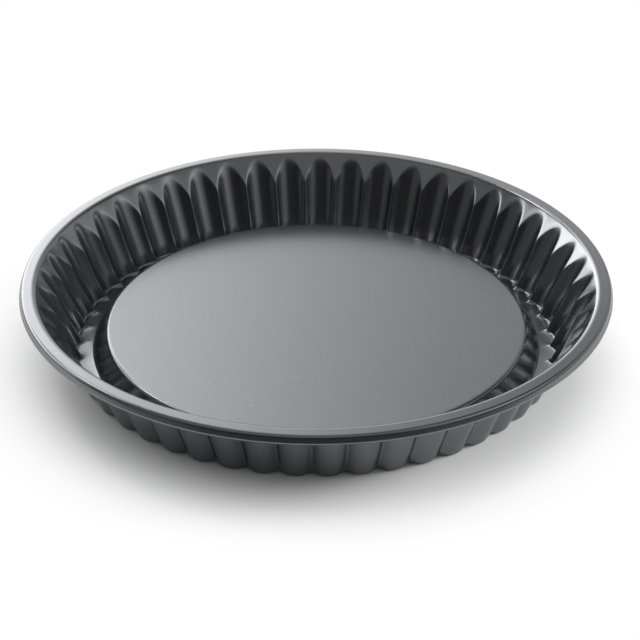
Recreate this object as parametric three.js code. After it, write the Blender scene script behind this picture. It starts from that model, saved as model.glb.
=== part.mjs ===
// Sponge flan tin: one pressed steel sheet with a raised plateau, a fluted wall and a rolled rim over a wire.
// Millimetres, +Z up. The tin stands on z = 0 and its axis is the Z axis.
import * as THREE from 'three';

// Overall sizes
const mouthDiameter = 280; // where the flare and the flange would meet if the bend were sharp
const overallHeight = 39;
const sheet = 0.5;

// Wall: flutes below, plain flare above
const fluteCount = 49;
const fluteDepth = 3.4; // from crown to ridge, half way up the wall
const fluteLean = 24.3; // degrees from the vertical
const flareLean = 40.5; // degrees from the vertical
const plainFlare = 1.1; // height of flare left between the flute tops and the rim bend

// Base: the trough inside the wall, and the plateau that the sponge stands on
const troughWidth = 9.45; // at the floor, from the flute crowns to the riser
const riserRun = 6.25;
const plateauRise = 11.5; // above the trough floor

// Rim
const flangeWidth = 7.75; // from the mouth to the outside of the bead
const flangeFall = 5; // degrees, falling outward
const beadDiameter = 5.4;
const beadSweep = 300; // degrees that the edge is rolled through
const wireClearance = 0.6;

// Bend radii on the upper face of the sheet
const plateauBend = 2.5;
const troughBend = 2;
const footBend = 2;
const rimBend = 3;

// Fineness: straight steps per flute where the wall is fluted and where the tin is round, and per bend
const fluteSteps = 6;
const roundSteps = 2;
const bendSteps = 2;
const beadSteps = 8;
const wireSides = 8;
const archTolerance = 1e-4;

const radians = THREE.MathUtils.degToRad;
const direction = (degrees) => new THREE.Vector2(Math.cos(radians(degrees)), Math.sin(radians(degrees)));

// The sheet is followed outward from the axis. Points are (radius, height) on its upper face, and the way that
// face looks is an angle from the outward radius: 90 is straight up, above 90 leans toward the axis.
const facingUp = 90;
const fluteFacing = 180 - fluteLean;
const flareFacing = 180 - flareLean;
const flangeFacing = facingUp - flangeFall;
const riserFacing = THREE.MathUtils.radToDeg(Math.atan2(riserRun, plateauRise));
const floorHeight = sheet;
const plateauHeight = floorHeight + plateauRise;

// A bend between two straight stretches that would meet at a corner. It is hollow where the upper face looks
// into the bend, and its stations run from the first stretch to the second.
function bendCentre(corner, fromFacing, toFacing, radius, hollow) {
  const from = direction(fromFacing);
  const to = direction(toFacing);
  const reach = radius / (1 + from.dot(to));
  return from.add(to).multiplyScalar(hollow ? reach : -reach).add(corner);
}

function arcStations(centre, fromFacing, toFacing, radius, hollow, steps) {
  const stations = [];
  for (let step = 0; step <= steps; step += 1) {
    const facing = THREE.MathUtils.lerp(fromFacing, toFacing, step / steps);
    const point = direction(facing).multiplyScalar(hollow ? -radius : radius).add(centre);
    stations.push({ point, facing });
  }
  return stations;
}

function bend(corner, fromFacing, toFacing, radius, hollow) {
  const centre = bendCentre(corner, fromFacing, toFacing, radius, hollow);
  return arcStations(centre, fromFacing, toFacing, radius, hollow, bendSteps);
}

// The rim bend peaks at the overall height, which sets how high its corner lies
const mouthCorner = new THREE.Vector2(mouthDiameter / 2, 0);
const lowPeak = bendCentre(mouthCorner, flareFacing, flangeFacing, rimBend, false).y + rimBend;
mouthCorner.y = overallHeight - lowPeak;
const rimStations = bend(mouthCorner, flareFacing, flangeFacing, rimBend, false);

// The bead hangs below the flange
const beadRadius = beadDiameter / 2;
const flangeNormal = direction(flangeFacing);
const flangeRun = flangeWidth - beadRadius;
const beadDrop = (beadRadius + flangeRun * flangeNormal.x) / flangeNormal.y;
const beadCentre = new THREE.Vector2(mouthCorner.x + flangeRun, mouthCorner.y - beadDrop);
const wireRadius = beadRadius - sheet - wireClearance;

// The flute crowns run down from the flare to the trough floor, and the trough and plateau lie inside them
const crownSlope = Math.tan(radians(fluteLean));
const flareSlope = Math.tan(radians(flareLean));
const flareAt = (height) => mouthCorner.x + (height - mouthCorner.y) * flareSlope;
const crownTop = rimStations[0].point.y - plainFlare;
const crownAt = (height) => flareAt(crownTop) + (height - crownTop) * crownSlope;
const crownFoot = new THREE.Vector2(crownAt(floorHeight), floorHeight);
const troughCorner = new THREE.Vector2(crownFoot.x - troughWidth, floorHeight);
const plateauCorner = new THREE.Vector2(troughCorner.x - riserRun, plateauHeight);

// Flutes: leaning arcs of one radius, set round the axis so that neighbours meet in ridges
const halfPitch = Math.PI / fluteCount;
const middleCrown = crownAt((floorHeight + crownTop) / 2);
const middleRidge = middleCrown - fluteDepth;
const middleCentre = (middleCrown ** 2 - middleRidge ** 2)
  / (2 * (middleCrown - middleRidge * Math.cos(halfPitch)));
const fluteRadius = middleCrown - middleCentre;

// Radius of the fluted wall at an angle off the crown. Depth is how far the face lies behind the upper face.
function fluteAt(turn, height, depth) {
  const centre = crownAt(height) - fluteRadius;
  const radius = fluteRadius + depth / Math.cos(radians(fluteLean));
  return centre * Math.cos(turn) + Math.sqrt(radius ** 2 - (centre * Math.sin(turn)) ** 2);
}

// Stations of the sheet, from the axis to the cut edge inside the bead
const lastFacing = flangeFacing - beadSweep;
const beadStations = arcStations(beadCentre, flangeFacing, lastFacing, beadRadius, false, beadSteps);
const baseStations = [
  ...bend(plateauCorner, facingUp, riserFacing, plateauBend, false),
  ...bend(troughCorner, riserFacing, facingUp, troughBend, true),
];
const footStations = bend(crownFoot, facingUp, fluteFacing, footBend, true);

// One closed ring of points: a step count, and the radius and height at each angle
const roundCount = fluteCount * roundSteps;
const fineCount = fluteCount * fluteSteps;

function faceOf(station, depth) {
  return direction(station.facing).multiplyScalar(-depth).add(station.point);
}

function roundRing(station, depth) {
  const point = faceOf(station, depth);
  return { count: roundCount, at: () => point };
}

// The bend at the foot of the flutes keeps its section and follows the scalloped outline
function footRing(station, depth) {
  const point = faceOf(station, depth);
  const crown = fluteAt(0, floorHeight, depth);
  return {
    count: fineCount,
    at: (turn) => new THREE.Vector2(point.x - crown + fluteAt(turn, floorHeight, depth), point.y),
  };
}

// The line where each flute runs out into the flare: arched over the crown, pointed at the ridges
function archRing(depth) {
  const flareDepth = depth / Math.cos(radians(flareLean));
  const lowest = footStations.at(-1).point.y;
  const highest = faceOf(rimStations[0], depth).y;
  function at(turn) {
    let below = lowest;
    let above = highest;
    while (above - below > archTolerance) {
      const height = (below + above) / 2;
      if (fluteAt(turn, height, depth) > flareAt(height) + flareDepth) {
        below = height;
      } else {
        above = height;
      }
    }
    return new THREE.Vector2(flareAt(above) + flareDepth, above);
  }
  return { count: fineCount, at };
}

function faceRings(depth) {
  return [
    ...baseStations.map((station) => roundRing(station, depth)),
    ...footStations.map((station) => footRing(station, depth)),
    archRing(depth),
    ...rimStations.map((station) => roundRing(station, depth)),
    ...beadStations.map((station) => roundRing(station, depth)),
  ];
}

// A closed skin over rings of different step counts. The first and last ring are single points on the axis.
function skin(rings) {
  const positions = [];
  const triangles = [];
  const starts = [];
  for (const ring of rings) {
    starts.push(positions.length / 3);
    for (let step = 0; step < ring.count; step += 1) {
      const angle = (2 * Math.PI * step) / ring.count;
      const turn = angle - 2 * halfPitch * Math.round(angle / (2 * halfPitch));
      const point = ring.at(turn);
      positions.push(point.x * Math.cos(angle), point.x * Math.sin(angle), point.y);
    }
  }
  for (let lower = 0; lower + 1 < rings.length; lower += 1) {
    joinRings(rings[lower].count, starts[lower], rings[lower + 1].count, starts[lower + 1], triangles);
  }
  const geometry = new THREE.BufferGeometry();
  geometry.setAttribute('position', new THREE.Float32BufferAttribute(positions, 3));
  geometry.setIndex(triangles);
  geometry.computeVertexNormals();
  return geometry;
}

// Walks round two rings at once, and each step closes one triangle on the ring that lags behind
function joinRings(innerCount, innerStart, outerCount, outerStart, triangles) {
  const innerSteps = innerCount > 1 ? innerCount : 0;
  const outerSteps = outerCount > 1 ? outerCount : 0;
  let inner = 0;
  let outer = 0;
  while (inner < innerSteps || outer < outerSteps) {
    const innerPoint = innerStart + (inner % innerCount);
    const outerPoint = outerStart + (outer % outerCount);
    const innerLags = (inner + 0.5) * outerSteps < (outer + 0.5) * innerSteps;
    if (outer === outerSteps || (inner < innerSteps && innerLags)) {
      inner += 1;
      triangles.push(innerPoint, outerPoint, innerStart + (inner % innerCount));
    } else {
      outer += 1;
      triangles.push(innerPoint, outerPoint, outerStart + (outer % outerCount));
    }
  }
}

const axisPoint = (height) => ({ count: 1, at: () => new THREE.Vector2(0, height) });
const tinGeometry = skin([
  axisPoint(plateauHeight),
  ...faceRings(0),
  ...faceRings(sheet).reverse(),
  axisPoint(plateauHeight - sheet),
]);

const wireGeometry = new THREE.TorusGeometry(beadCentre.x, wireRadius, wireSides, roundCount);
wireGeometry.translate(0, 0, beadCentre.y);

const nonStickCoat = new THREE.MeshStandardMaterial({ color: '#4a4b4f', roughness: 0.42, metalness: 0.6 });
const bareSteel = new THREE.MeshStandardMaterial({ color: '#9a9c9f', roughness: 0.35, metalness: 1 });

function piece(name, geometry, material) {
  const mesh = new THREE.Mesh(geometry, material);
  mesh.name = name;
  return mesh;
}

const tin = new THREE.Group();
tin.name = 'sponge_flan_tin';
tin.add(piece('pressed_tin', tinGeometry, nonStickCoat));
tin.add(piece('rim_wire', wireGeometry, bareSteel));

export default tin;
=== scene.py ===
"""A sponge flan tin in charcoal non-stick coat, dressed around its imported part.

Lengths are in metres, in the part's frame: the tin stands on z = 0, and +X runs through the crown
of one flute.
"""
import math
from typing import NamedTuple

import bpy
from mathutils import Matrix, Vector


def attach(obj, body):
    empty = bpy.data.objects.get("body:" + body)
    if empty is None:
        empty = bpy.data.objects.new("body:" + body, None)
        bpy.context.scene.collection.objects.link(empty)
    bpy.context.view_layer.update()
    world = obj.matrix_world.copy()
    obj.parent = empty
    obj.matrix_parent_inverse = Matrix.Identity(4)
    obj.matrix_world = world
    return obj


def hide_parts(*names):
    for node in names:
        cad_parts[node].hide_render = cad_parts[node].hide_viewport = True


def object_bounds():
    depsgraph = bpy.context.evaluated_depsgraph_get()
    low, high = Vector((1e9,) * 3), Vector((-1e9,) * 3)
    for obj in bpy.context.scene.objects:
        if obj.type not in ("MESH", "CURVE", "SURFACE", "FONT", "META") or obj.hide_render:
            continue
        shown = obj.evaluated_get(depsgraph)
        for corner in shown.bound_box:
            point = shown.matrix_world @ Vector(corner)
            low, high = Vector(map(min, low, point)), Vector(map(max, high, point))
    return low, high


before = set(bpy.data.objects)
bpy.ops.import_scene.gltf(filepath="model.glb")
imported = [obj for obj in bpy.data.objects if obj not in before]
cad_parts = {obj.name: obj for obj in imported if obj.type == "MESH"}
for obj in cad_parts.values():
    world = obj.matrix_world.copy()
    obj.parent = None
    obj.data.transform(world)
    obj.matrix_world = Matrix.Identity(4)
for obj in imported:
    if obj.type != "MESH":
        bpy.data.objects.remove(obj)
cad_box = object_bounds()

MM = 0.001

# The tin's driving sizes. The arcs of the flutes are deeper than in the part, because the soft
# turn of the ridges shaves them back.
MOUTH_RADIUS = 140 * MM
OVERALL_HEIGHT = cad_box[1].z
RIM_RADIUS = min(cad_box[1].x, cad_box[1].y)
SHEET = 0.5 * MM
FLUTE_COUNT = 49
FLUTE_DEPTH = 4.05 * MM
FLUTE_LEAN = math.radians(24.3)
FLARE_LEAN = math.radians(40.5)
PLAIN_FLARE = 1.1 * MM
TROUGH_WIDTH = 9.45 * MM
RISER_RUN = 6.25 * MM
PLATEAU_RISE = 11.5 * MM
FLANGE_FALL = math.radians(5)

# The rolled edge and its pressed faces: the way each face looks, how far it lies from the bead's
# centre, and the bend that leads to it
BEAD_RADIUS = 2.7 * MM
BEAD_SWEEP = math.radians(300)
BEAD_FACINGS = (math.radians(21), math.radians(-50), math.radians(-110))
BEAD_FACES = (2.23 * MM, 2.58 * MM, 2.55 * MM)
BEAD_BENDS = (1.6 * MM, 0.45 * MM, 1.2 * MM)

# Bend radii on the upper face
PLATEAU_BEND = 2.5 * MM
TROUGH_BEND = 2 * MM
FOOT_BEND = 1.1 * MM
RIDGE_FOOT_BEND = 3 * MM
RIM_BEND = 3 * MM

# How softly the pressed edges turn over. Ridges soften towards their feet between two heights.
# The larger bend at a ridge's foot keeps closer to the ridge the higher its focus is, and its lift
# dies out sooner up the wall the higher its fade is.
RIDGE_SOFTNESS = 4 * MM
RIDGE_FOOT_SOFTNESS = 5 * MM
RIDGE_FOOT_FOCUS = 3.0
FOOT_LIFT_FADE = 6
RIDGE_SOFTENING = (3 * MM, 12 * MM)
GROOVE_SOFTNESS = 2 * MM
FLUTE_FOOT_TIGHTNESS = 0.08
ARCH_SOFTNESS = 1.3 * MM

# Fineness of the mesh. Inside the bead, the hidden face has fewer steps and no bend tighter than
# its own.
STEPS_PER_FLUTE = 16
RIDGE_CROWDING = 0.5
BEND_STEPS = 4
CURL_STEPS = 3
HIDDEN_BEND_STEPS = 2
HIDDEN_BEND = 0.8 * MM
WALL_ROWS = 12
FLARE_ROWS = 7
HOLDING_DISTANCE = 0.6 * MM
WELD_DISTANCE = 0.001 * MM

# The coat: its colours and gloss, and how far its marks show. A noise is given by its fineness per
# metre and its detail.
COAT_DARK = (0.185, 0.190, 0.200, 1)
COAT_PALE = (0.31, 0.318, 0.33, 1)
COAT_EDGE_TINT = (0.85, 0.85, 0.85, 1)
COAT_METALLIC = 0.98
COAT_ROUGHNESS = 0.21
COAT_ROUGHNESS_SPREAD = 0.04
COAT_GRAIN = (1400.0, 2.0)
COAT_GRAIN_SHARE = 0.3
COAT_CLOUDS = (28.0, 3.0)
COAT_PEEL = (900.0, 1.0)
COAT_PEEL_STRENGTH = 0.06
COAT_PEEL_HEIGHT = 0.05 * MM
FLAKE_FINENESS = 1600.0
FLAKE_THRESHOLD = 0.985
FLAKE_SHARE = 0.35
NOISE_MIDDLE = 0.5

# The wire: its colours and gloss, and its drawing marks
WIRE_DARK = (0.42, 0.42, 0.43, 1)
WIRE_PALE = (0.60, 0.60, 0.61, 1)
WIRE_ROUGHNESS = 0.25
WIRE_ROUGHNESS_SPREAD = 0.2
WIRE_MARKS = (700.0, 3.0)
WIRE_MARK_STRENGTH = 0.1
WIRE_MARK_HEIGHT = 0.02 * MM

# The photograph's view: the camera circles the middle of the rim and looks a little past it
PHOTO_PIXELS = 640
SENSOR_WIDTH = 36
FOCAL_PIXELS = 2059.5
VIEW_TURN = math.radians(-0.935)
VIEW_ELEVATION = math.radians(29.05)
VIEW_DISTANCE = 1.0302
RIM_CENTRE = Vector((0, 0, 37.5 * MM))
RIM_CENTRE_PIXEL = (316.14, 276.43)

# The floor lies just below the tin, and its shadow fades between two distances from the axis
FLOOR_SIZE = 8
FLOOR_GAP = 0.2 * MM
FLOOR_COLOUR = (0.9, 0.9, 0.9, 1)
SHADOW_REACH = (0.12, 0.19)

# Lamps aimed at the tin, which light it and its floor but aren't mirrored: place, size and watts
LAMPS = {
    "overhead_lamp": ((0, 0.9, 2.2), (2.8, 2.4), 30),
    "side_lamp": ((2.0, 0.3, 0.75), (0.8, 0.8), 45),
}

# The studio that the coat mirrors. Each light has a level, and a rising and a falling edge for its
# bearing and for its height. These are in degrees, and bearings count from +X towards +Y.
ROOM_LEVEL = 0.05
ROOM_LIGHTS = {
    "low_glow": (1.3, ((45, 80), (140, 165)), ((3, 9), (22, 38))),
    "back_strip": (0.9, ((70, 112), (125, 150)), ((-3, 1), (5, 13))),
    "high_back": (0.5, ((50, 85), (100, 135)), ((24, 45), (60, 78))),
    "high_window": (12, ((122, 128), (136, 142)), ((39, 44), (50, 55))),
    "right_wall": (0.9, ((-45, -15), (45, 70)), ((10, 20), (26, 42))),
    "right_strip": (1.3, ((4, 26), (45, 70)), ((-3, 1), (4, 10))),
    "card": (0.62, ((-74, -36), (-12, 8)), ((8, 22), (36, 48))),
}

# The soft light behind on the left: a tall panel and a low wide one. A slanted edge has a slope,
# and a bearing at which it lies at its own height.
SOFT_LIGHT_LEVEL = 4.5
TALL_PANEL_BEARINGS = ((81, 115), (112, 128))
TALL_PANEL_TOP = (38, 52)
TALL_PANEL_SLANT = (0.6, 97)
LOW_PANEL_BEARINGS = ((81, 115), (160, 180))
LOW_PANEL_TOP = (22, 36)
SOFT_LIGHT_FOOT = (1, 11)
SOFT_LIGHT_SLANT = (-0.25, 120)

# The faint wall on the left, whose side edge is given along X because bearings jump behind it
LEFT_WALL_LEVEL = 0.15
LEFT_WALL_SIDE = (-0.85, -0.6)
LEFT_WALL_HEIGHTS = ((0, 6), (25, 40))

# The faint ceiling, and the shares of it that are lost between some bearings
CEILING_LEVEL = 0.42
CEILING_FOOT = (24, 40)
CEILING_LOSSES = ((0.6, ((105, 130), (180, 200))), (0.75, ((5, 35), (55, 75))))


class Term:
    """A socket of a node tree that Python's operators can reckon with."""

    def __init__(self, graph, socket):
        self.graph = graph
        self.socket = socket

    def reckon(self, operation, *others):
        return self.graph.reckon(operation, self, *others)

    def __add__(self, other):
        return self.reckon("ADD", other)

    def __radd__(self, other):
        return self.graph.reckon("ADD", other, self)

    def __sub__(self, other):
        return self.reckon("SUBTRACT", other)

    def __rsub__(self, other):
        return self.graph.reckon("SUBTRACT", other, self)

    def __mul__(self, other):
        return self.reckon("MULTIPLY", other)

    def __rmul__(self, other):
        return self.graph.reckon("MULTIPLY", other, self)

    def __truediv__(self, other):
        return self.reckon("DIVIDE", other)

    def __rtruediv__(self, other):
        return self.graph.reckon("DIVIDE", other, self)


class Graph:
    """Adds nodes to a tree."""

    def __init__(self, tree):
        self.tree = tree

    def node(self, kind, settings=None, inputs=None):
        """A node of a type, with its settings and the values or links of its sockets."""
        node = self.tree.nodes.new(kind)
        for name, value in (settings or {}).items():
            setattr(node, name, value)
        for name, value in (inputs or {}).items():
            self.plug(value, self.find(node.inputs, name))
        return node

    def add(self, kind, settings=None, inputs=None, output=0):
        """The same node, as the term of one of its outputs."""
        node = self.node(kind, settings, inputs)
        return Term(self, self.find(node.outputs, output))

    def reckon(self, operation, *values):
        inputs = dict(enumerate(values))
        return self.add("ShaderNodeMath", {"operation": operation}, inputs)

    def past(self, value, edge):
        """Zero before an edge and one past it, with a smooth rise across the edge's own width."""
        inputs = {"Value": value, "From Min": edge[0], "From Max": edge[1]}
        return self.add("ShaderNodeMapRange", {"interpolation_type": "SMOOTHSTEP"}, inputs)

    def between(self, value, edges):
        rise, fall = edges
        return self.past(value, rise) * (1 - self.past(value, fall))

    def plug(self, value, socket):
        if isinstance(value, Term):
            self.tree.links.new(value.socket, socket)
        else:
            socket.default_value = value

    @staticmethod
    def find(sockets, key):
        """A socket by its number, its identifier or else its name."""
        if isinstance(key, int):
            return sockets[key]
        for socket in sockets:
            if socket.identifier == key:
                return socket
        return sockets[key]


# The sheet's section through a flute crown, followed outward from the axis. Points are (radius,
# height) on the upper face, and a facing is the angle that this face looks along: straight up is a
# quarter turn.
FACING_UP = math.radians(90)
FLUTE_FACING = math.radians(180) - FLUTE_LEAN
FLARE_FACING = math.radians(180) - FLARE_LEAN
FLANGE_FACING = FACING_UP - FLANGE_FALL
RISER_FACING = math.atan2(RISER_RUN, PLATEAU_RISE)
FLOOR_HEIGHT = SHEET
PLATEAU_HEIGHT = FLOOR_HEIGHT + PLATEAU_RISE
CROWN_SLOPE = math.tan(FLUTE_LEAN)
FLARE_SLOPE = math.tan(FLARE_LEAN)


def looking(facing):
    return Vector((math.cos(facing), math.sin(facing)))


def bend_centre(corner, start, end, radius, hollow):
    both = looking(start) + looking(end)
    reach = radius / (1 + looking(start).dot(looking(end)))
    return corner + both * (reach if hollow else -reach)


def arc(centre, start, end, radius, hollow, steps):
    """Points and facings round a bend, which is hollow where the upper face looks into it."""
    side = -radius if hollow else radius
    facings = [start + (end - start) * step / steps for step in range(steps + 1)]
    return [(centre + looking(facing) * side, facing) for facing in facings]


def bend(corner, start, end, radius, hollow, steps=BEND_STEPS):
    centre = bend_centre(corner, start, end, radius, hollow)
    return arc(centre, start, end, radius, hollow, steps)


def mouth_corner():
    """Where flare and flange would meet: the bend over this corner peaks at the overall height."""
    corner = Vector((MOUTH_RADIUS, 0))
    peak = bend_centre(corner, FLARE_FACING, FLANGE_FACING, RIM_BEND, False).y + RIM_BEND
    return Vector((MOUTH_RADIUS, OVERALL_HEIGHT - peak))


MOUTH = mouth_corner()
RIM_ARC = bend(MOUTH, FLARE_FACING, FLANGE_FACING, RIM_BEND, False)
CROWN_TOP_HEIGHT = RIM_ARC[0][0].y - PLAIN_FLARE
CROWN_TOP_RADIUS = MOUTH.x + (CROWN_TOP_HEIGHT - MOUTH.y) * FLARE_SLOPE
CROWN_FOOT_RADIUS = CROWN_TOP_RADIUS - (CROWN_TOP_HEIGHT - FLOOR_HEIGHT) * CROWN_SLOPE


def flute_arc_radius():
    """Radius of the arc that makes a flute of the given depth half way up the wall."""
    crown = (CROWN_TOP_RADIUS + CROWN_FOOT_RADIUS) / 2
    ridge = crown - FLUTE_DEPTH
    half_pitch = math.pi / FLUTE_COUNT
    centre = (crown**2 - ridge**2) / (2 * (crown - ridge * math.cos(half_pitch)))
    return crown - centre


def crossing(centre, first, second):
    """Where two straight faces meet, each given by its facing and its distance from a centre."""
    (facing, distance), (next_facing, next_distance) = first, second
    turn = math.sin(next_facing - facing)
    x = (distance * math.sin(next_facing) - next_distance * math.sin(facing)) / turn
    y = (next_distance * math.cos(facing) - distance * math.cos(next_facing)) / turn
    return centre + Vector((x, y))


def held(before, after):
    """Two rows close to the ends of a straight stretch, which keep its shading flat."""
    (start, facing), (end, _) = before, after
    share = HOLDING_DISTANCE / (end - start).length
    return [(start.lerp(end, share), facing), (end.lerp(start, share), facing)]


def bead_rows(hidden):
    """The edge rolled over the wire: pressed to two faces outside, and curled up round inside."""
    run = RIM_RADIUS - MOUTH.x - BEAD_RADIUS
    normal = looking(FLANGE_FACING)
    drop = (BEAD_RADIUS + run * normal.x) / normal.y
    centre = Vector((MOUTH.x + run, MOUTH.y - drop))
    faces = [(FLANGE_FACING, BEAD_RADIUS), *zip(BEAD_FACINGS, BEAD_FACES)]
    steps = HIDDEN_BEND_STEPS if hidden else BEND_STEPS
    rows = []
    for first, second, radius in zip(faces, faces[1:], BEAD_BENDS):
        corner = crossing(centre, first, second)
        radius = max(radius, HIDDEN_BEND) if hidden else radius
        turned = bend(corner, first[0], second[0], radius, False, steps)
        if rows and not hidden:
            rows += held(rows[-1], turned[0])
        rows += turned
    last_facing = FLANGE_FACING - BEAD_SWEEP
    curl = arc(centre, BEAD_FACINGS[-1], last_facing, BEAD_FACES[-1], False, CURL_STEPS)
    return rows + curl


def eased(share):
    """Crowds the rows of a stretch towards its end."""
    return 1 - (1 - share) ** 2


def eased_twice(share):
    """Crowds the rows of a stretch towards both its ends."""
    return (1 - math.cos(math.pi * share)) / 2


class Row(NamedTuple):
    """A line round the sheet: its place in the section, and how the flutes move it.

    It follows the foot's outline or the wall, takes a share of the arch's fall, and its reach from
    the foot's corner grows with the bend there.
    """
    point: Vector
    facing: float
    follows_foot: float = 0.0
    follows_wall: float = 0.0
    arch_share: float = 0.0
    reach: Vector = Vector((0, 0))


def base_rows(foot_corner):
    """Rows of the plateau, the riser and the trough."""
    trough_corner = foot_corner - Vector((TROUGH_WIDTH, 0))
    plateau_corner = trough_corner + Vector((-RISER_RUN, PLATEAU_RISE))
    middle = (Vector((0, PLATEAU_HEIGHT)), FACING_UP)
    plateau_arc = bend(plateau_corner, FACING_UP, RISER_FACING, PLATEAU_BEND, False)
    trough_arc = bend(trough_corner, RISER_FACING, FACING_UP, TROUGH_BEND, True)
    base = [middle, held(middle, plateau_arc[0])[1], *plateau_arc]
    base += [*held(plateau_arc[-1], trough_arc[0]), *trough_arc]
    return [Row(point, facing) for point, facing in base]


def wall_rows(foot_corner):
    """Rows of the fluted wall from its foot, and of the flare above it."""
    foot_arc = bend(foot_corner, FACING_UP, FLUTE_FACING, FOOT_BEND, True)
    foot_end = foot_arc[-1][0]
    foot_lift = Vector((0, foot_end.y - foot_corner.y))
    crown_top = Vector((CROWN_TOP_RADIUS, CROWN_TOP_HEIGHT))
    rim_start = RIM_ARC[0][0]
    rows = [Row(point, facing, follows_foot=1.0, reach=point - foot_corner)
            for point, facing in foot_arc]
    for step in range(1, WALL_ROWS + 1):
        share = eased_twice(step / WALL_ROWS)
        rows.append(Row(
            foot_end.lerp(crown_top, share), FLUTE_FACING, follows_wall=1.0, arch_share=share,
            reach=foot_lift * (1 - share) ** FOOT_LIFT_FADE))
    for step in range(1, FLARE_ROWS):
        share = eased(1 - step / FLARE_ROWS)
        rows.append(Row(
            rim_start.lerp(crown_top, share), FLARE_FACING, follows_wall=1.0, arch_share=share))
    return rows


def section_rows(hidden):
    """Rows of the sheet from the axis to its cut edge. The hidden face has a coarser bead."""
    foot_corner = Vector((CROWN_FOOT_RADIUS, FLOOR_HEIGHT))
    bead = bead_rows(hidden)
    rim = [*RIM_ARC, *held(RIM_ARC[-1], bead[0]), *bead]
    rim_rows = [Row(point, facing) for point, facing in rim]
    return base_rows(foot_corner) + wall_rows(foot_corner) + rim_rows


def section_mesh():
    """The closed section: out on the upper face, round the cut edge and back on the under face."""
    rows = [(row, 0.0) for row in section_rows(False)]
    rows += [(row, SHEET) for row in reversed(section_rows(True))]
    points = [row.point - looking(row.facing) * behind for row, behind in rows]
    values = {
        "follows_foot": [row.follows_foot for row, _ in rows],
        "follows_wall": [row.follows_wall for row, _ in rows],
        "arch_share": [row.arch_share for row, _ in rows],
        "reach_out": [row.reach.x for row, _ in rows],
        "reach_up": [row.reach.y for row, _ in rows],
        "behind": [behind for _, behind in rows],
    }
    mesh = bpy.data.meshes.new("tin_section")
    mesh.from_pydata([(point.x, 0, point.y) for point in points], [], [])
    for name, column in values.items():
        mesh.attributes.new(name, "FLOAT", "POINT").data.foreach_set("value", column)
    return mesh


TIN_SIZES = {
    "Flute Count": ("NodeSocketInt", FLUTE_COUNT),
    "Steps per Flute": ("NodeSocketInt", STEPS_PER_FLUTE),
    "Ridge Crowding": ("NodeSocketFloat", RIDGE_CROWDING),
    "Flute Arc Radius": ("NodeSocketFloat", flute_arc_radius()),
    "Crown Foot Radius": ("NodeSocketFloat", CROWN_FOOT_RADIUS),
    "Crown Slope": ("NodeSocketFloat", CROWN_SLOPE),
    "Crown Stretch": ("NodeSocketFloat", 1 / math.cos(FLUTE_LEAN)),
    "Floor Height": ("NodeSocketFloat", FLOOR_HEIGHT),
    "Mouth Radius": ("NodeSocketFloat", MOUTH.x),
    "Mouth Height": ("NodeSocketFloat", MOUTH.y),
    "Flare Slope": ("NodeSocketFloat", FLARE_SLOPE),
    "Flare Stretch": ("NodeSocketFloat", 1 / math.cos(FLARE_LEAN)),
    "Ridge Softness": ("NodeSocketFloat", RIDGE_SOFTNESS),
    "Ridge Foot Softness": ("NodeSocketFloat", RIDGE_FOOT_SOFTNESS),
    "Groove Sharpening": ("NodeSocketFloat", (RIDGE_SOFTNESS - GROOVE_SOFTNESS) / SHEET),
    "Foot Tightness": ("NodeSocketFloat", FLUTE_FOOT_TIGHTNESS),
    "Ridge Foot Growth": ("NodeSocketFloat", RIDGE_FOOT_BEND / FOOT_BEND - 1),
    "Ridge Foot Focus": ("NodeSocketFloat", RIDGE_FOOT_FOCUS),
    "Softening Start": ("NodeSocketFloat", RIDGE_SOFTENING[0]),
    "Softening End": ("NodeSocketFloat", RIDGE_SOFTENING[1]),
    "Arch Softness": ("NodeSocketFloat", ARCH_SOFTNESS),
    "Weld Distance": ("NodeSocketFloat", WELD_DISTANCE),
    "Coat": ("NodeSocketMaterial", None),
}


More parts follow.
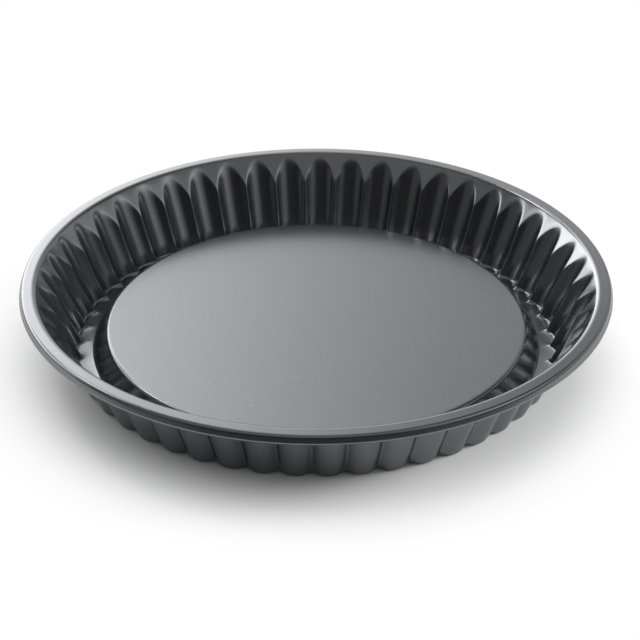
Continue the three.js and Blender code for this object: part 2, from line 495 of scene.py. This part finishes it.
class FluteRule:
    """Radii of the fluted wall at a turn off a crown, for a face behind the upper one."""

    def __init__(self, graph, given, pitch, turn, behind):
        self.graph = graph
        self.given = given
        self.pitch = pitch
        self.turn = turn
        self.behind = behind
        self.arc_radius = given["Flute Arc Radius"] + behind * given["Crown Stretch"]

    def arc_centre(self, height):
        """How far the centre of a flute's arc lies from the axis."""
        given = self.given
        rise = (height - given["Floor Height"]) * given["Crown Slope"]
        return given["Crown Foot Radius"] + rise - given["Flute Arc Radius"]

    def flute(self, angle, height, near_foot):
        """One flute at an angle off its crown. Its arc is tighter near the foot."""
        given = self.given
        tightening = given["Flute Arc Radius"] * given["Foot Tightness"] * near_foot
        centre = self.arc_centre(height) + tightening
        radius = self.arc_radius - tightening
        half_chord = centre * angle.reckon("SINE")
        depth = (radius * radius - half_chord * half_chord).reckon("MAXIMUM", 0.0)
        return centre * angle.reckon("COSINE") + depth.reckon("SQRT")

    def fluted(self, height):
        """The flute and its neighbour, which meet in a ridge that is softer near its foot."""
        given = self.given
        softening = (given["Softening Start"], given["Softening End"])
        near_foot = 1 - self.graph.past(height, softening)
        own_turn = self.turn.reckon("ABSOLUTE")
        own = self.flute(own_turn, height, near_foot)
        neighbour = self.flute(self.pitch - own_turn, height, near_foot)
        wall_softness = given["Ridge Softness"] - given["Groove Sharpening"] * self.behind
        softness = wall_softness + (given["Ridge Foot Softness"] - wall_softness) * near_foot
        return own.reckon("SMOOTH_MAX", neighbour, softness)

    def flare(self, height):
        given = self.given
        rise = (height - given["Mouth Height"]) * given["Flare Slope"]
        return given["Mouth Radius"] + rise + self.behind * given["Flare Stretch"]

    def wall(self, height):
        """The flutes below and the flare above, which meet in arches."""
        softness = self.given["Arch Softness"]
        return self.fluted(height).reckon("SMOOTH_MAX", self.flare(height), softness)

    def foot_shift(self):
        """How far the wall's foot lies inside the crown's foot."""
        floor = self.given["Floor Height"]
        return self.fluted(floor) - (self.arc_centre(floor) + self.arc_radius)

    def arch_height(self, sine, cosine):
        """How high above the floor a flute runs out, at an angle off its crown.

        A quadratic gives the centre of the flute's arc there.
        """
        given = self.given
        floor_centre = self.arc_centre(given["Floor Height"])
        steeper = given["Flare Slope"] / given["Crown Slope"]
        at_axis = self.flare(given["Floor Height"]) - steeper * floor_centre
        rest = steeper - cosine
        square = rest * rest + sine * sine
        cross = at_axis * rest
        inner = cross * cross - square * (at_axis * at_axis - self.arc_radius * self.arc_radius)
        centre = (inner.reckon("SQRT") - cross) / square
        return (centre - floor_centre) / given["Crown Slope"]


def flute_sector(graph, given, pitch):
    """The sheet over one flute: a grid with a line for each row of the section."""
    section = given["Section"]
    steps = given["Steps per Flute"]
    across = steps + 1
    rows = graph.add(
        "GeometryNodeAttributeDomainSize", {"component": "MESH"}, {"Geometry": section})
    grid = graph.add("GeometryNodeMeshGrid", None, {"Vertices X": rows, "Vertices Y": across})
    index = graph.add("GeometryNodeInputIndex")
    row = (index / across).reckon("FLOOR")
    even = (index - row * across) / steps - 0.5
    crowded = given["Ridge Crowding"] / math.tau * (even * math.tau).reckon("SINE")
    turn = (even + crowded) * pitch

    def sampled(kind, value):
        inputs = {"Geometry": section, "Value": value, "Index": row}
        return graph.add("GeometryNodeSampleIndex", {"data_type": kind}, inputs)

    def row_value(name):
        settings = {"data_type": "FLOAT"}
        attribute = graph.add("GeometryNodeInputNamedAttribute", settings, {"Name": name})
        return sampled("FLOAT", attribute)

    place = sampled("FLOAT_VECTOR", graph.add("GeometryNodeInputPosition"))
    row_radius = graph.add("ShaderNodeSeparateXYZ", None, {0: place}, "X")
    row_height = graph.add("ShaderNodeSeparateXYZ", None, {0: place}, "Z")

    rule = FluteRule(graph, given, pitch, turn, row_value("behind"))
    sine, cosine = turn.reckon("SINE"), turn.reckon("COSINE")
    fall = rule.arch_height(sine, cosine) - rule.arch_height(sine=0.0, cosine=1.0)
    to_ridge = (turn / pitch * math.pi).reckon("SINE").reckon("ABSOLUTE")
    growth = given["Ridge Foot Growth"] * to_ridge.reckon("POWER", given["Ridge Foot Focus"])
    height = row_height + row_value("arch_share") * fall + row_value("reach_up") * growth
    radius = row_radius + row_value("follows_foot") * rule.foot_shift()
    radius = radius + row_value("reach_out") * growth
    radius = radius + row_value("follows_wall") * (rule.wall(height) - row_radius)
    position = graph.add("ShaderNodeCombineXYZ", None, {
        "X": radius * cosine, "Y": radius * sine, "Z": height})
    return graph.add("GeometryNodeSetPosition", None, {"Geometry": grid, "Position": position})


def fluted_tin_tree():
    """One flute's sector of the sheet, repeated round the axis, welded and coated."""
    tree = bpy.data.node_groups.new("fluted_tin", "GeometryNodeTree")
    graph = Graph(tree)
    tree.interface.new_socket("Section", in_out="INPUT", socket_type="NodeSocketGeometry")
    for name, (kind, _) in TIN_SIZES.items():
        tree.interface.new_socket(name, in_out="INPUT", socket_type=kind)
    tree.interface.new_socket("Tin", in_out="OUTPUT", socket_type="NodeSocketGeometry")
    sockets = graph.node("NodeGroupInput").outputs
    given = {socket.name: Term(graph, socket) for socket in sockets if socket.name}

    pitch = math.tau / given["Flute Count"]
    sector = flute_sector(graph, given, pitch)
    spots = graph.add("GeometryNodePoints", None, {"Count": given["Flute Count"]})
    angle = graph.add("GeometryNodeInputIndex") * pitch
    spin = graph.add("ShaderNodeCombineXYZ", None, {"Z": angle})
    ring = graph.add("GeometryNodeInstanceOnPoints", None, {
        "Points": spots, "Instance": sector, "Rotation": spin})
    whole = graph.add("GeometryNodeRealizeInstances", None, {"Geometry": ring})
    welded = graph.add("GeometryNodeMergeByDistance", None, {
        "Geometry": whole, "Distance": given["Weld Distance"]})
    smooth = graph.add("GeometryNodeSetShadeSmooth", None, {"Geometry": welded})
    coated = graph.add("GeometryNodeSetMaterial", None, {
        "Geometry": smooth, "Material": given["Coat"]})
    graph.node("NodeGroupOutput", None, {0: coated})
    return tree


def made_mesh(name, tree, base, values):
    """Runs a tree on a mesh and keeps the result as a plain mesh object."""
    scaffold = bpy.data.objects.new(name + "_scaffold", base)
    bpy.context.scene.collection.objects.link(scaffold)
    modifier = scaffold.modifiers.new("rule", "NODES")
    modifier.node_group = tree
    for socket in tree.interface.items_tree:
        if socket.in_out == "INPUT" and socket.name in values:
            modifier[socket.identifier] = values[socket.name]
    bpy.context.view_layer.update()
    evaluated = scaffold.evaluated_get(bpy.context.evaluated_depsgraph_get())
    mesh = bpy.data.meshes.new_from_object(evaluated)
    scaffold.modifiers.remove(modifier)
    bpy.data.objects.remove(scaffold)
    piece = bpy.data.objects.new(name, mesh)
    bpy.context.scene.collection.objects.link(piece)
    return piece


def new_material(name):
    material = bpy.data.materials.new(name)
    material.use_nodes = True
    material.node_tree.nodes.clear()
    return material, Graph(material.node_tree)


def show(graph, shader):
    graph.node("ShaderNodeOutputMaterial", None, {"Surface": shader})


def noise(graph, place, kind):
    fineness, detail = kind
    inputs = {"Vector": place, "Scale": fineness, "Detail": detail}
    return graph.add("ShaderNodeTexNoise", None, inputs, "Fac")


def mixed(graph, share, first, second):
    """A colour that lies the given share of the way from the first to the second."""
    inputs = {"Factor_Float": share, "A_Color": first, "B_Color": second}
    return graph.add("ShaderNodeMix", {"data_type": "RGBA"}, inputs, "Result_Color")


def charcoal_coat():
    """Satin charcoal non-stick coat with fine metallic flakes and a faint orange peel."""
    material, graph = new_material("charcoal_non_stick_coat")
    place = graph.add("ShaderNodeTexCoord", None, None, "Object")
    grain = noise(graph, place, COAT_GRAIN)
    clouds = noise(graph, place, COAT_CLOUDS)
    peel = noise(graph, place, COAT_PEEL)
    cells = graph.add(
        "ShaderNodeTexVoronoi", None, {"Vector": place, "Scale": FLAKE_FINENESS}, "Color")
    chance = graph.add("ShaderNodeSeparateColor", None, {0: cells}, "Red")
    flakes = graph.add("ShaderNodeMapRange", None, {
        "Value": chance, "From Min": FLAKE_THRESHOLD, "From Max": 1.0})
    speckle = COAT_GRAIN_SHARE * grain + FLAKE_SHARE * flakes
    unevenness = (clouds - NOISE_MIDDLE) + (grain - NOISE_MIDDLE)
    bump = graph.add("ShaderNodeBump", None, {
        "Height": peel, "Strength": COAT_PEEL_STRENGTH, "Distance": COAT_PEEL_HEIGHT})
    show(graph, graph.add("ShaderNodeBsdfPrincipled", None, {
        "Base Color": mixed(graph, speckle, COAT_DARK, COAT_PALE), "Metallic": COAT_METALLIC,
        "Roughness": COAT_ROUGHNESS + COAT_ROUGHNESS_SPREAD * unevenness,
        "Normal": bump, "Specular Tint": COAT_EDGE_TINT}))
    return material


def drawn_wire_steel():
    """Bare steel wire with the fine marks of drawing."""
    material, graph = new_material("drawn_wire_steel")
    place = graph.add("ShaderNodeTexCoord", None, None, "Object")
    marks = noise(graph, place, WIRE_MARKS)
    bump = graph.add("ShaderNodeBump", None, {
        "Height": marks, "Strength": WIRE_MARK_STRENGTH, "Distance": WIRE_MARK_HEIGHT})
    show(graph, graph.add("ShaderNodeBsdfPrincipled", None, {
        "Base Color": mixed(graph, marks, WIRE_DARK, WIRE_PALE), "Metallic": 1.0,
        "Roughness": WIRE_ROUGHNESS + WIRE_ROUGHNESS_SPREAD * marks, "Normal": bump}))
    return material


def dress_tin():
    values = {name: value for name, (_, value) in TIN_SIZES.items()}
    values["Coat"] = charcoal_coat()
    tin = made_mesh("coated_tin", fluted_tin_tree(), section_mesh(), values)
    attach(tin, "root")
    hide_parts("pressed_tin")


def dress_wire():
    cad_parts["rim_wire"].material_slots[0].material = drawn_wire_steel()


def set_camera():
    """Stands the camera where the photograph was taken from."""
    out = Vector((math.sin(VIEW_TURN), -math.cos(VIEW_TURN), 0))
    back = out * math.cos(VIEW_ELEVATION) + Vector((0, 0, math.sin(VIEW_ELEVATION)))
    right = Vector((0, 0, 1)).cross(back).normalized()
    above = back.cross(right)
    aside = PHOTO_PIXELS / 2 - RIM_CENTRE_PIXEL[0]
    below = PHOTO_PIXELS / 2 - RIM_CENTRE_PIXEL[1]
    axis = (-back * FOCAL_PIXELS + right * aside - above * below).normalized()
    right = axis.cross(above).normalized()
    data = bpy.data.cameras.new("photo_camera")
    data.sensor_width = SENSOR_WIDTH
    data.lens = FOCAL_PIXELS * SENSOR_WIDTH / PHOTO_PIXELS
    camera = bpy.data.objects.new("photo_camera", data)
    turn = Matrix((right, right.cross(axis), -axis)).transposed().to_4x4()
    camera.matrix_world = Matrix.Translation(RIM_CENTRE + back * VIEW_DISTANCE) @ turn
    bpy.context.scene.collection.objects.link(camera)
    bpy.context.scene.camera = camera


def pale_floor():
    """A plain pale floor that keeps the tin's shadow and is evenly white further out."""
    material, graph = new_material("pale_floor")
    matt = graph.add("ShaderNodeBsdfDiffuse", None, {"Color": FLOOR_COLOUR})
    white = graph.add("ShaderNodeEmission", None, {"Strength": 1.0})
    place = graph.add("ShaderNodeTexCoord", None, None, "Object")
    from_axis = graph.add("ShaderNodeVectorMath", {"operation": "LENGTH"}, {0: place}, "Value")
    rays = graph.node("ShaderNodeLightPath")
    names = ("Is Camera Ray", "Is Glossy Ray", "Is Transmission Ray")
    seen, mirrored, through = [Term(graph, rays.outputs[name]) for name in names]
    looked_at = seen.reckon("MAXIMUM", mirrored).reckon("MAXIMUM", through)
    share = graph.past(from_axis, SHADOW_REACH) * looked_at
    show(graph, graph.add("ShaderNodeMixShader", None, {0: share, 1: matt, 2: white}))
    half = FLOOR_SIZE / 2
    corners = [(-half, -half), (half, -half), (half, half), (-half, half)]
    mesh = bpy.data.meshes.new("pale_floor")
    mesh.from_pydata([(x, y, -FLOOR_GAP) for x, y in corners], [], [(0, 1, 2, 3)])
    mesh.materials.append(material)
    floor = bpy.data.objects.new("pale_floor", mesh)
    bpy.context.scene.collection.objects.link(floor)


def studio_surround():
    """A dim room with its lights, a wide soft light behind on the left and a faint ceiling."""
    world = bpy.data.worlds.new("studio")
    world.use_nodes = True
    world.node_tree.nodes.clear()
    graph = Graph(world.node_tree)
    along = graph.add("ShaderNodeTexCoord", None, None, "Generated")
    x, y, z = [graph.add("ShaderNodeSeparateXYZ", None, {0: along}, axis) for axis in "XYZ"]
    bearing = y.reckon("ARCTAN2", x).reckon("DEGREES")
    height = z.reckon("ARCSINE").reckon("DEGREES")

    def slanted(slant):
        slope, own_bearing = slant
        return height + slope * (bearing - own_bearing)

    level = ROOM_LEVEL
    for strength, bearings, heights in ROOM_LIGHTS.values():
        patch = graph.between(bearing, bearings) * graph.between(height, heights)
        level = level + strength * patch

    tall_top = 1 - graph.past(slanted(TALL_PANEL_SLANT), TALL_PANEL_TOP)
    tall_panel = graph.between(bearing, TALL_PANEL_BEARINGS) * tall_top
    low_top = 1 - graph.past(height, LOW_PANEL_TOP)
    low_panel = graph.between(bearing, LOW_PANEL_BEARINGS) * low_top
    foot = graph.past(slanted(SOFT_LIGHT_SLANT), SOFT_LIGHT_FOOT)
    level = level + SOFT_LIGHT_LEVEL * tall_panel.reckon("MAXIMUM", low_panel) * foot

    left_wall = (1 - graph.past(x, LEFT_WALL_SIDE)) * graph.between(height, LEFT_WALL_HEIGHTS)
    level = level + LEFT_WALL_LEVEL * left_wall

    ceiling = graph.past(height, CEILING_FOOT)
    for loss, bearings in CEILING_LOSSES:
        ceiling = ceiling * (1 - loss * graph.between(bearing, bearings))
    level = level + CEILING_LEVEL * ceiling

    sky = graph.add("ShaderNodeBackground", None, {"Strength": level})
    graph.node("ShaderNodeOutputWorld", None, {"Surface": sky})
    bpy.context.scene.world = world


def add_lamp(name, place, size, watts):
    """An area lamp aimed at the tin, which neither the camera nor the coat's gloss shows."""
    data = bpy.data.lights.new(name, "AREA")
    data.shape = "RECTANGLE"
    data.size, data.size_y = size
    data.energy = watts
    lamp = bpy.data.objects.new(name, data)
    lamp.location = place
    lamp.rotation_euler = Vector(place).to_track_quat("Z", "Y").to_euler()
    lamp.visible_camera = False
    lamp.visible_glossy = False
    bpy.context.scene.collection.objects.link(lamp)


def light_studio():
    studio_surround()
    for name, (place, size, watts) in LAMPS.items():
        add_lamp(name, place, size, watts)


bpy.context.scene.view_settings.view_transform = "Standard"
set_camera()
dress_tin()
dress_wire()
pale_floor()
light_studio()
